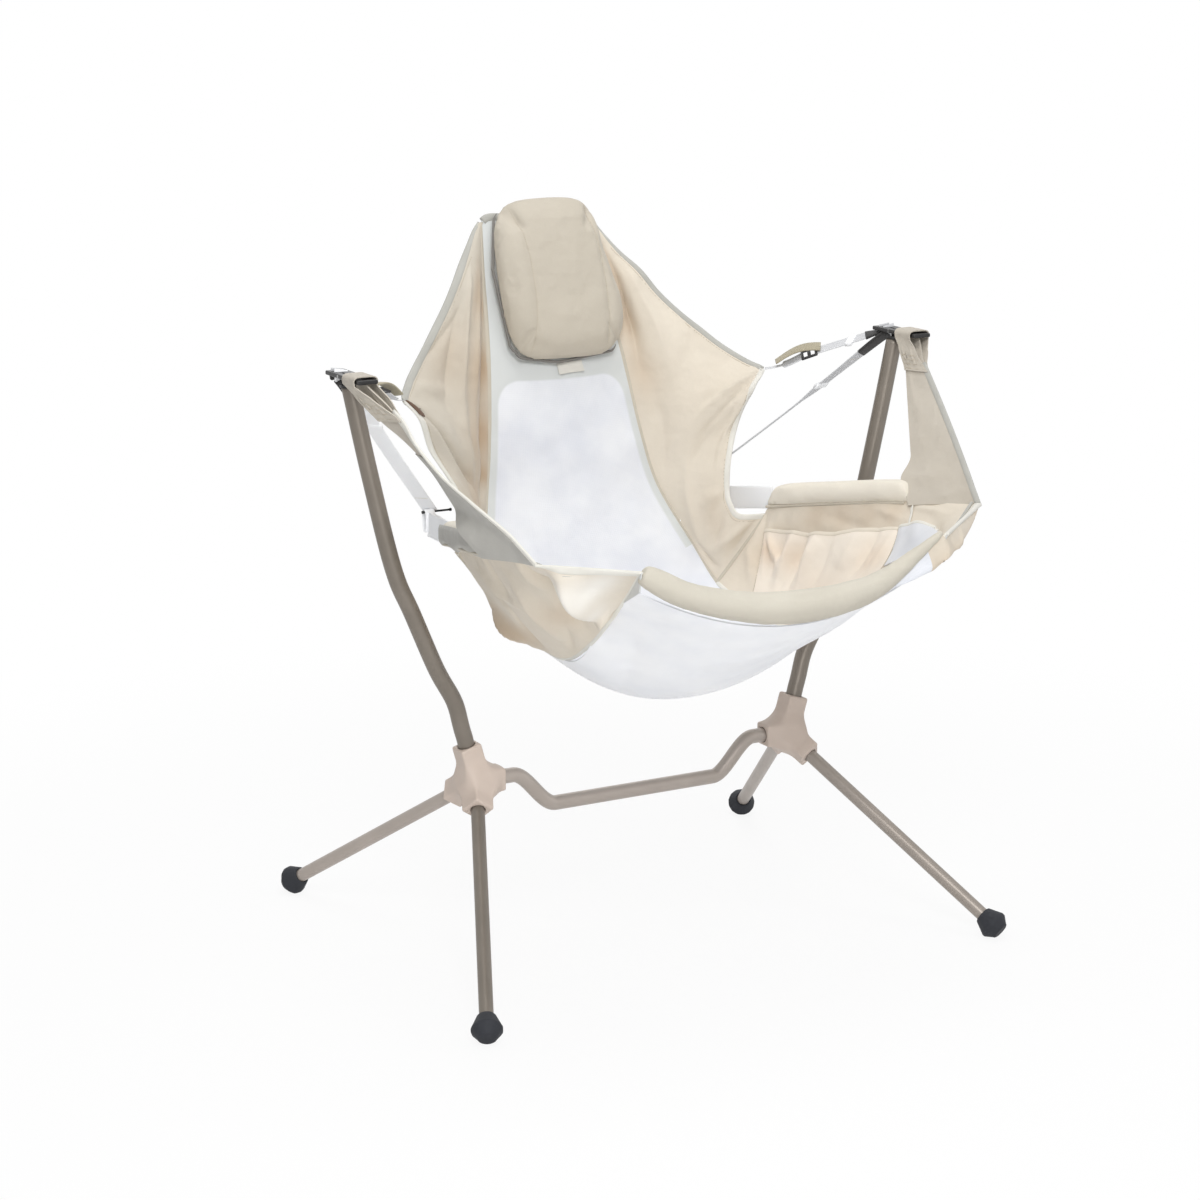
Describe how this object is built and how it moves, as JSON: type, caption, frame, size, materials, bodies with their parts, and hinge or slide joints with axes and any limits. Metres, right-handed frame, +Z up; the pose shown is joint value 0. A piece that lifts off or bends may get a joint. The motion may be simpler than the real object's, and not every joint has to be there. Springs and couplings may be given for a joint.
{
  "type": "hanging camp recliner",
  "caption": "Folding camp recliner: a mesh and cloth bucket sling with headrest hangs by straps from curved uprights on a splayed tube stand, and swings and leans back.",
  "frame": {"origin": "centre of the footprint box, on the ground", "axes": "+Z up, the sitter faces -Y, +X is to the right as seen from the front"},
  "size_m": [0.9358, 0.8322, 1.0532],
  "materials": {
    "bronze_tube": "satin bronze anodised tube",
    "taupe_plastic": "moulded matt taupe",
    "black_plastic": "matt black",
    "foot_rubber": "matt dark rubber",
    "pin_steel": "plain steel",
    "beige_cloth": "plain beige woven cloth",
    "pocket_cloth": "thin beige cloth that light passes",
    "white_mesh": "fine white mesh",
    "pale_webbing": "pale grey webbing"
  },
  "bodies": {
    "frame": {"hub_left": "taupe_plastic", "hub_right": "taupe_plastic", "crossbar": "bronze_tube", "upright_left": "bronze_tube", "end_cap_left": "black_plastic", "pivot_pin_left": "pin_steel", "upright_right": "bronze_tube", "end_cap_right": "black_plastic", "pivot_pin_right": "pin_steel"},
    "hanger": {"hanger_bracket_left": "black_plastic", "hanger_bracket_right": "black_plastic"},
    "seat": {"back_mesh": "white_mesh", "seat_mesh": "white_mesh", "wing_left": "beige_cloth", "side_panel_left": "beige_cloth", "arm_pad_left": "beige_cloth", "pocket_left": "pocket_cloth", "arm_panel_left": "beige_cloth", "rear_webbing_left": "pale_webbing", "strap_hook_left": "black_plastic", "arm_band_left": "pale_webbing", "back_webbing_left": "pale_webbing", "strap_adjuster_left": "black_plastic", "corner_strap_left": "pale_webbing", "pull_tab_left": "beige_cloth", "wing_right": "beige_cloth", "side_panel_right": "beige_cloth", "arm_pad_right": "beige_cloth", "pocket_right": "pocket_cloth", "arm_panel_right": "beige_cloth", "rear_webbing_right": "pale_webbing", "strap_hook_right": "black_plastic", "arm_band_right": "pale_webbing", "back_webbing_right": "pale_webbing", "strap_adjuster_right": "black_plastic", "corner_strap_right": "pale_webbing", "pull_tab_right": "beige_cloth", "cup_pocket": "white_mesh", "lip_pad": "beige_cloth", "headrest_pillow": "beige_cloth", "plain_tag": "pale_webbing"},
    "body_leg_front_left": {"leg_front_left": "bronze_tube", "foot_front_left": "foot_rubber"},
    "body_leg_front_right": {"leg_front_right": "bronze_tube", "foot_front_right": "foot_rubber"},
    "body_leg_rear_left": {"leg_rear_left": "bronze_tube", "foot_rear_left": "foot_rubber"},
    "body_leg_rear_right": {"leg_rear_right": "bronze_tube", "foot_rear_right": "foot_rubber"}
  },
  "joints": [
    {"name": "seat_swing", "type": "hinge", "parent": "frame", "child": "hanger", "pos_m": [0, 0.04458, 0.85769], "axis": [1, 0, 0], "range_deg": [-18, 18]},
    {"name": "recline", "type": "hinge", "parent": "hanger", "child": "seat", "pos_m": [0, -0.00542, 0.56769], "axis": [-1, 0, 0], "range_deg": [0, 15], "deforming": ["arm_panel_left", "arm_panel_right", "rear_webbing_left", "rear_webbing_right", "back_webbing_left", "back_webbing_right"]},
    {"name": "leg_pull_front_left", "type": "slide", "parent": "frame", "child": "body_leg_front_left", "axis": [-0.3544, -0.7672, -0.5346], "range_m": [0, 0.04]},
    {"name": "leg_pull_front_right", "type": "slide", "parent": "frame", "child": "body_leg_front_right", "axis": [0.3544, -0.7672, -0.5346], "range_m": [0, 0.04]},
    {"name": "leg_pull_rear_left", "type": "slide", "parent": "frame", "child": "body_leg_rear_left", "axis": [-0.3221, 0.7881, -0.5246], "range_m": [0, 0.04]},
    {"name": "leg_pull_rear_right", "type": "slide", "parent": "frame", "child": "body_leg_rear_right", "axis": [0.3221, 0.7881, -0.5246], "range_m": [0, 0.04]}
  ]
}
